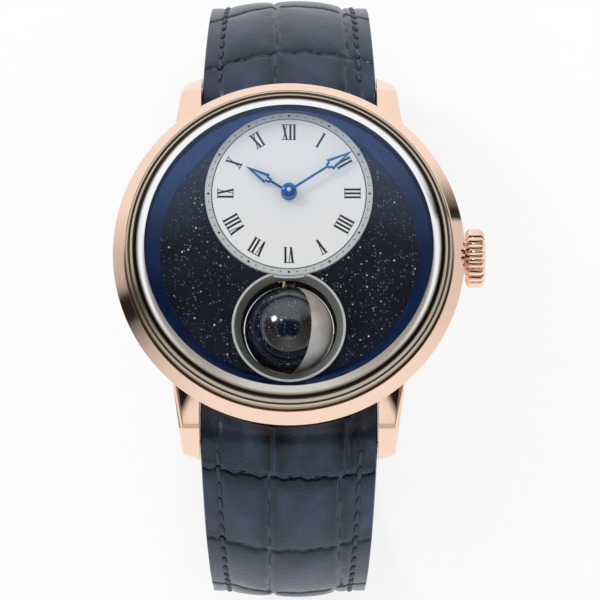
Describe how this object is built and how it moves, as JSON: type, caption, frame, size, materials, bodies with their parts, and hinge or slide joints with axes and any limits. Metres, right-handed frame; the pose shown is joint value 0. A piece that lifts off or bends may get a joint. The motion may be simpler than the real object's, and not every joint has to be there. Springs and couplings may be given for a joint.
{
  "type": "moon phase wristwatch",
  "caption": "Round wristwatch with an offset hours dial, a large turning moon sphere below it, a winding crown and a two part leather strap with a pin buckle.",
  "frame": {"origin": "middle of the flat face of the case back", "axes": "+Z from the case back to the dial, +Y to twelve o'clock, +X to the crown"},
  "size_m": [0.0467, 0.0789, 0.0564],
  "materials": {
    "rose_gold": "polished",
    "steel": "brushed",
    "crystal": "clear polished",
    "aventurine": "polished",
    "moon_stone": "polished",
    "white_dial": "satin",
    "silver_ring": "fine matt",
    "moon_rim": "brushed",
    "flange_blue": "satin",
    "blued_steel": "polished",
    "rubber": "matt",
    "brass": "gilt",
    "plate": "rhodium plated",
    "ruby": "polished",
    "leather": "semi-matt, grained"
  },
  "bodies": {
    "case": {"case_back": "rose_gold", "back_crystal": "crystal", "case_gasket": "rubber", "mid_case": "rose_gold", "bezel": "rose_gold", "crystal_gasket": "rubber", "front_crystal": "crystal", "lug_spring_bars": "steel", "crown_tube": "steel", "dial_flange": "flange_blue", "main_dial": "aventurine", "hours_dial": "white_dial", "minute_ring": "silver_ring", "moon_ring": "moon_rim", "moon_bearings": "brass", "main_plate": "plate", "barrel_bridge": "plate", "train_bridge": "plate", "balance_cock": "plate", "pallet_bridge": "plate", "movement_ring": "brass", "casing_clamps": "steel", "bridge_screws": "blued_steel", "crown_wheel_screw": "blued_steel", "jewels": "ruby"},
    "moon": {"moon_globe_light": "moon_stone", "moon_globe_dark": "aventurine", "moon_axle": "steel", "moon_drive_wheel": "brass"},
    "minute_hand_set": {"minute_hand": "blued_steel", "cannon_pinion": "steel"},
    "minute_wheel_set": {"minute_wheel": "brass"},
    "hour_hand_set": {"hour_hand": "blued_steel", "hour_wheel": "brass"},
    "winding_pinion_set": {"winding_pinion": "steel"},
    "crown_set": {"crown": "rose_gold", "winding_stem": "steel"},
    "sliding_pinion_set": {"sliding_pinion": "steel"},
    "setting_lever_set": {"setting_lever": "steel"},
    "crown_wheel_set": {"crown_wheel": "steel"},
    "ratchet_set": {"ratchet_wheel": "steel", "barrel_arbor": "steel"},
    "click_set": {"click": "steel"},
    "barrel_set": {"barrel": "brass", "barrel_cover": "brass", "mainspring": "steel"},
    "centre_wheel_set": {"centre_wheel": "brass"},
    "third_wheel_set": {"third_wheel": "brass"},
    "fourth_wheel_set": {"fourth_wheel": "brass"},
    "escape_wheel_set": {"escape_wheel": "steel"},
    "pallet_fork_set": {"pallet_fork": "steel"},
    "balance_set": {"balance_wheel": "brass", "hairspring": "blued_steel"},
    "strap_upper_set": {"strap_upper": "leather", "fixed_keeper": "leather"},
    "loose_keeper_set": {"loose_keeper": "leather"},
    "buckle_set": {"buckle_frame": "rose_gold", "buckle_pin": "steel"},
    "tang_set": {"buckle_tang": "rose_gold"},
    "strap_lower_set": {"strap_lower": "leather"}
  },
  "joints": [
    {"name": "moon_turn", "type": "hinge", "parent": "case", "child": "moon", "pos_m": [0, -0.00963, 0.0085], "axis": [0, 1, 0], "continuous": true},
    {"name": "minute_hand_turn", "type": "hinge", "parent": "case", "child": "minute_hand_set", "pos_m": [0, 0.0073, 0.0128], "axis": [0, 0, 1], "continuous": true},
    {"name": "minute_wheel_turn", "type": "hinge", "parent": "case", "child": "minute_wheel_set", "pos_m": [0.0015, 0.0047, 0], "axis": [0, 0, 1], "continuous": true},
    {"name": "hour_hand_turn", "type": "hinge", "parent": "case", "child": "hour_hand_set", "pos_m": [0, 0.0073, 0.0122], "axis": [0, 0, 1], "continuous": true},
    {"name": "crown_turn", "type": "hinge", "parent": "case", "child": "winding_pinion_set", "pos_m": [0.01115, 0, 0.0073], "axis": [1, 0, 0], "continuous": true},
    {"name": "crown_pull", "type": "slide", "parent": "winding_pinion_set", "child": "crown_set", "axis": [1, 0, 0], "range_m": [0, 0.0012]},
    {"name": "sliding_pinion_shift", "type": "slide", "parent": "winding_pinion_set", "child": "sliding_pinion_set", "axis": [1, 0, 0], "range_m": [-0.00072, 0]},
    {"name": "setting_lever_swing", "type": "hinge", "parent": "case", "child": "setting_lever_set", "pos_m": [0.01335, -0.0026, 0.0082], "axis": [0, 0, 1], "range_deg": [-27.6, 0]},
    {"name": "crown_wheel_turn", "type": "hinge", "parent": "case", "child": "crown_wheel_set", "pos_m": [0.0084, 0, 0], "axis": [0, 0, 1], "continuous": true},
    {"name": "ratchet_turn", "type": "hinge", "parent": "case", "child": "ratchet_set", "pos_m": [0.00659, 0.00676, 0], "axis": [0, 0, 1], "continuous": true},
    {"name": "click_swing", "type": "hinge", "parent": "case", "child": "click_set", "pos_m": [0.01185, 0.00485, 0.0045], "axis": [0, 0, 1], "range_deg": [-10, 0], "stiffness_Nm_per_rad": 0.000001},
    {"name": "third_wheel_turn", "type": "hinge", "parent": "case", "child": "third_wheel_set", "pos_m": [-0.00433, 0.00572, 0], "axis": [0, 0, 1], "continuous": true},
    {"name": "centre_wheel_turn", "type": "hinge", "parent": "case", "child": "centre_wheel_set", "pos_m": [0, 0.0073, 0], "axis": [0, 0, 1], "continuous": true},
    {"name": "barrel_turn", "type": "hinge", "parent": "case", "child": "barrel_set", "pos_m": [0.00659, 0.00676, 0], "axis": [0, 0, 1], "continuous": true},
    {"name": "fourth_wheel_turn", "type": "hinge", "parent": "case", "child": "fourth_wheel_set", "pos_m": [-0.00768, 0.00338, 0], "axis": [0, 0, 1], "continuous": true},
    {"name": "escape_wheel_turn", "type": "hinge", "parent": "case", "child": "escape_wheel_set", "pos_m": [-0.00888, 0.00007, 0], "axis": [0, 0, 1], "continuous": true},
    {"name": "pallet_fork_swing", "type": "hinge", "parent": "case", "child": "pallet_fork_set", "pos_m": [-0.00913, -0.00276, 0.0075], "axis": [0, 0, 1], "range_deg": [-5, 5]},
    {"name": "balance_swing", "type": "hinge", "parent": "case", "child": "balance_set", "pos_m": [-0.00959, -0.00603, 0.0065], "axis": [0, 0, 1], "range_deg": [-270, 270], "stiffness_Nm_per_rad": 0.00000013},
    {"name": "strap_upper_swing", "type": "hinge", "parent": "case", "child": "strap_upper_set", "pos_m": [0, 0.023, 0.0034], "axis": [1, 0, 0], "range_deg": [0, 60]},
    {"name": "loose_keeper_slip", "type": "hinge", "parent": "strap_upper_set", "child": "loose_keeper_set", "pos_m": [0, 0.023, -0.0225], "axis": [1, 0, 0], "range_deg": [0, 25]},
    {"name": "buckle_swing", "type": "hinge", "parent": "strap_upper_set", "child": "buckle_set", "pos_m": [0, 0.0106, -0.039], "axis": [1, 0, 0], "range_deg": [-50, 0]},
    {"name": "tang_swing", "type": "hinge", "parent": "strap_upper_set", "child": "tang_set", "pos_m": [0, 0.0106, -0.039], "axis": [1, 0, 0], "range_deg": [0, 60]},
    {"name": "strap_lower_swing", "type": "hinge", "parent": "case", "child": "strap_lower_set", "pos_m": [0, -0.023, 0.0034], "axis": [-1, 0, 0], "range_deg": [0, 60]}
  ],
  "couplings": [
    {"joint": "minute_wheel_turn", "follows": "minute_hand_turn", "ratio": -0.33333},
    {"joint": "hour_hand_turn", "follows": "minute_hand_turn", "ratio": 0.083333},
    {"joint": "crown_wheel_turn", "follows": "crown_turn", "ratio": 0.54545},
    {"joint": "ratchet_turn", "follows": "crown_turn", "ratio": -0.42857},
    {"joint": "sliding_pinion_shift", "follows": "crown_pull", "ratio": -0.6},
    {"joint": "setting_lever_swing", "follows": "crown_pull", "rad_per_m": -399.8},
    {"joint": "centre_wheel_turn", "follows": "third_wheel_turn", "ratio": -0.125},
    {"joint": "barrel_turn", "follows": "third_wheel_turn", "ratio": 0.020833},
    {"joint": "fourth_wheel_turn", "follows": "third_wheel_turn", "ratio": -7.5},
    {"joint": "escape_wheel_turn", "follows": "third_wheel_turn", "ratio": 75}
  ]
}
